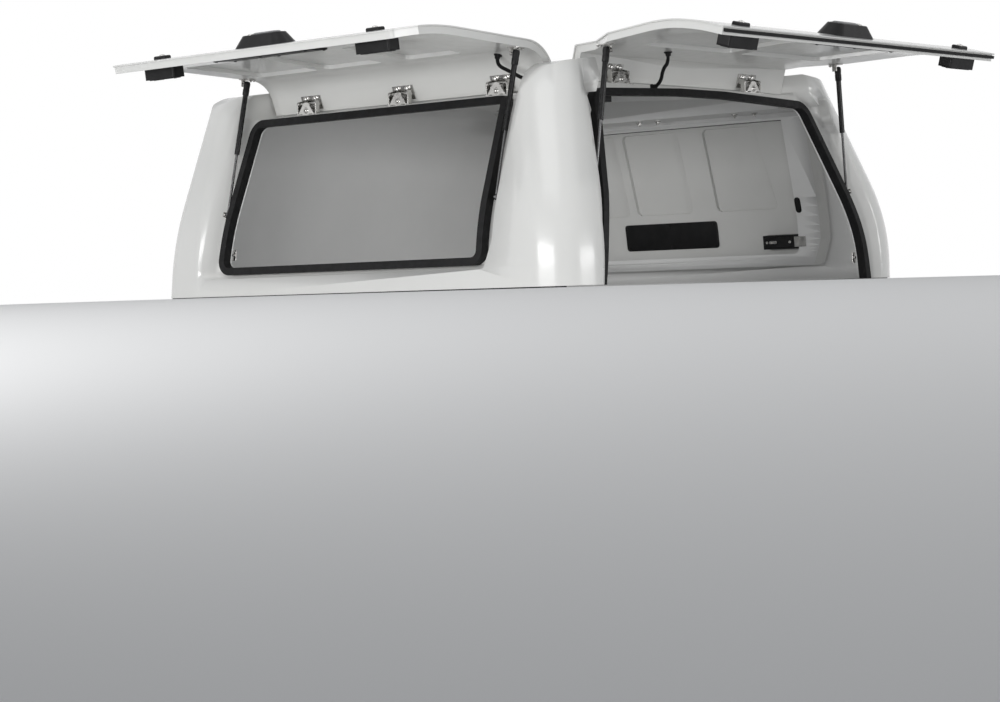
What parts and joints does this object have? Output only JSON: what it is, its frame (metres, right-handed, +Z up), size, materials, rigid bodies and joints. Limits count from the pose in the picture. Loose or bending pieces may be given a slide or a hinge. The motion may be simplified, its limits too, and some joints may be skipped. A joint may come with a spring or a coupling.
{
  "type": "pickup truck canopy",
  "caption": "Moulded white canopy for a pickup bed with lift-up side doors and rear door on hinges and gas struts, black seals and latches.",
  "frame": {"origin": "middle of the front base flange, on the underside of the gasket that rests on the bed rails", "axes": "+X to the truck's right, +Y forward to the cab, +Z up"},
  "size_m": [2.0411, 2.1221, 0.7577],
  "materials": {
    "white_gelcoat": "gloss",
    "black_rubber": "matt",
    "black_plastic": "satin",
    "polished_steel": "polished",
    "strut_black": "gloss",
    "strut_rod": "polished"
  },
  "bodies": {
    "shell": {"front_wall": "white_gelcoat", "roof": "white_gelcoat", "left_side": "white_gelcoat", "right_side": "white_gelcoat", "base_gasket": "black_rubber", "opening_seals": "black_rubber", "hinge_bases": "polished_steel", "door_strikers": "polished_steel", "shell_strut_studs": "polished_steel", "interior_lamp": "black_plastic"},
    "left_door": {"left_door_skin": "white_gelcoat", "left_door_liner": "white_gelcoat", "left_door_latches": "black_plastic", "left_door_handle": "black_plastic", "left_door_lock_cover": "black_plastic", "left_door_hinge_leaves": "polished_steel", "left_door_strut_brackets": "polished_steel"},
    "right_door": {"right_door_skin": "white_gelcoat", "right_door_liner": "white_gelcoat", "right_door_latches": "black_plastic", "right_door_handle": "black_plastic", "right_door_lock_cover": "black_plastic", "right_door_hinge_leaves": "polished_steel", "right_door_strut_brackets": "polished_steel"},
    "rear_door": {"rear_door_skin": "white_gelcoat", "rear_door_liner": "white_gelcoat", "rear_door_latches": "black_plastic", "rear_door_handle": "black_plastic", "rear_door_lock_cover": "black_plastic", "rear_door_strip": "black_rubber", "rear_door_hinge_leaves": "polished_steel", "rear_door_strut_brackets": "polished_steel"},
    "right_back_strut_rod_body": {"right_back_strut_rod": "strut_rod"},
    "right_back_strut_tube_body": {"right_back_strut_tube": "strut_black"},
    "left_back_strut_rod_body": {"left_back_strut_rod": "strut_rod"},
    "left_back_strut_tube_body": {"left_back_strut_tube": "strut_black"},
    "right_front_strut_rod_body": {"right_front_strut_rod": "strut_rod"},
    "right_front_strut_tube_body": {"right_front_strut_tube": "strut_black"},
    "left_front_strut_rod_body": {"left_front_strut_rod": "strut_rod"},
    "left_front_strut_tube_body": {"left_front_strut_tube": "strut_black"},
    "rear_left_strut_rod_body": {"rear_left_strut_rod": "strut_rod"},
    "rear_left_strut_tube_body": {"rear_left_strut_tube": "strut_black"},
    "rear_right_strut_rod_body": {"rear_right_strut_rod": "strut_rod"},
    "rear_right_strut_tube_body": {"rear_right_strut_tube": "strut_black"}
  },
  "joints": [
    {"name": "left_door_hinge", "type": "hinge", "parent": "shell", "child": "left_door", "pos_m": [-0.6, -0.8, 0.598], "axis": [0, 1, 0], "range_deg": [-77, 0]},
    {"name": "right_door_hinge", "type": "hinge", "parent": "shell", "child": "right_door", "pos_m": [0.6, -0.8, 0.598], "axis": [0, -1, 0], "range_deg": [0, 77]},
    {"name": "rear_door_hinge", "type": "hinge", "parent": "shell", "child": "rear_door", "pos_m": [0, -1.444, 0.624], "axis": [-1, 0, 0], "range_deg": [-74.5, 0]},
    {"name": "left_back_strut_rod_pivot", "type": "hinge", "parent": "shell", "child": "left_back_strut_rod_body", "pos_m": [-0.76542, -1.343, 0.26071], "axis": [-0.3332, -0.9425, -0.0255], "range_deg": [-7.98, 0]},
    {"name": "left_back_strut_tube_slide", "type": "slide", "parent": "left_back_strut_rod_body", "child": "left_back_strut_tube_body", "axis": [0.1582, -0.0826, 0.984], "range_m": [-0.1437, 0]},
    {"name": "right_back_strut_rod_pivot", "type": "hinge", "parent": "shell", "child": "right_back_strut_rod_body", "pos_m": [0.76542, -1.343, 0.26071], "axis": [-0.3332, 0.9425, 0.0255], "range_deg": [0, 7.98]},
    {"name": "right_back_strut_tube_slide", "type": "slide", "parent": "right_back_strut_rod_body", "child": "right_back_strut_tube_body", "axis": [-0.2857, -0.1267, 0.9499], "range_m": [0, 0.1437]},
    {"name": "left_front_strut_rod_pivot", "type": "hinge", "parent": "shell", "child": "left_front_strut_rod_body", "pos_m": [-0.76542, -0.215, 0.26071], "axis": [-0.3332, -0.9425, -0.0255], "range_deg": [-7.98, 0]},
    {"name": "left_front_strut_tube_slide", "type": "slide", "parent": "left_front_strut_rod_body", "child": "left_front_strut_tube_body", "axis": [0.1582, -0.0826, 0.984], "range_m": [-0.1437, 0]},
    {"name": "right_front_strut_rod_pivot", "type": "hinge", "parent": "shell", "child": "right_front_strut_rod_body", "pos_m": [0.76542, -0.215, 0.26071], "axis": [-0.3332, 0.9425, 0.0255], "range_deg": [0, 7.98]},
    {"name": "right_front_strut_tube_slide", "type": "slide", "parent": "right_front_strut_rod_body", "child": "right_front_strut_tube_body", "axis": [-0.2857, -0.1267, 0.9499], "range_m": [0, 0.1437]},
    {"name": "rear_left_strut_rod_pivot", "type": "hinge", "parent": "shell", "child": "rear_left_strut_rod_body", "pos_m": [-0.624, -1.58984, 0.28087], "axis": [0.9434, -0.3033, -0.1339], "range_deg": [-20.88, 0]},
    {"name": "rear_left_strut_tube_slide", "type": "slide", "parent": "rear_left_strut_rod_body", "child": "rear_left_strut_tube_body", "axis": [0.1301, -0.033, 0.991], "range_m": [-0.1674, 0]},
    {"name": "rear_right_strut_rod_pivot", "type": "hinge", "parent": "shell", "child": "rear_right_strut_rod_body", "pos_m": [0.624, -1.58984, 0.28087], "axis": [0.9434, 0.3033, 0.1339], "range_deg": [-20.88, 0]},
    {"name": "rear_right_strut_tube_slide", "type": "slide", "parent": "rear_right_strut_rod_body", "child": "rear_right_strut_tube_body", "axis": [-0.1301, -0.033, 0.991], "range_m": [-0.1674, 0]}
  ],
  "couplings": [
    {"joint": "left_back_strut_rod_pivot", "follows": "left_door_hinge", "ratio": 0.10366},
    {"joint": "left_back_strut_tube_slide", "follows": "left_door_hinge", "m_per_rad": 0.10681},
    {"joint": "right_back_strut_rod_pivot", "follows": "right_door_hinge", "ratio": 0.10366},
    {"joint": "right_back_strut_tube_slide", "follows": "right_door_hinge", "m_per_rad": 0.10681},
    {"joint": "left_front_strut_rod_pivot", "follows": "left_door_hinge", "ratio": 0.10366},
    {"joint": "left_front_strut_tube_slide", "follows": "left_door_hinge", "m_per_rad": 0.10681},
    {"joint": "right_front_strut_rod_pivot", "follows": "right_door_hinge", "ratio": 0.10366},
    {"joint": "right_front_strut_tube_slide", "follows": "right_door_hinge", "m_per_rad": 0.10681},
    {"joint": "rear_left_strut_rod_pivot", "follows": "rear_door_hinge", "ratio": 0.28019},
    {"joint": "rear_left_strut_tube_slide", "follows": "rear_door_hinge", "m_per_rad": 0.1286},
    {"joint": "rear_right_strut_rod_pivot", "follows": "rear_door_hinge", "ratio": 0.28019},
    {"joint": "rear_right_strut_tube_slide", "follows": "rear_door_hinge", "m_per_rad": 0.1286}
  ]
}
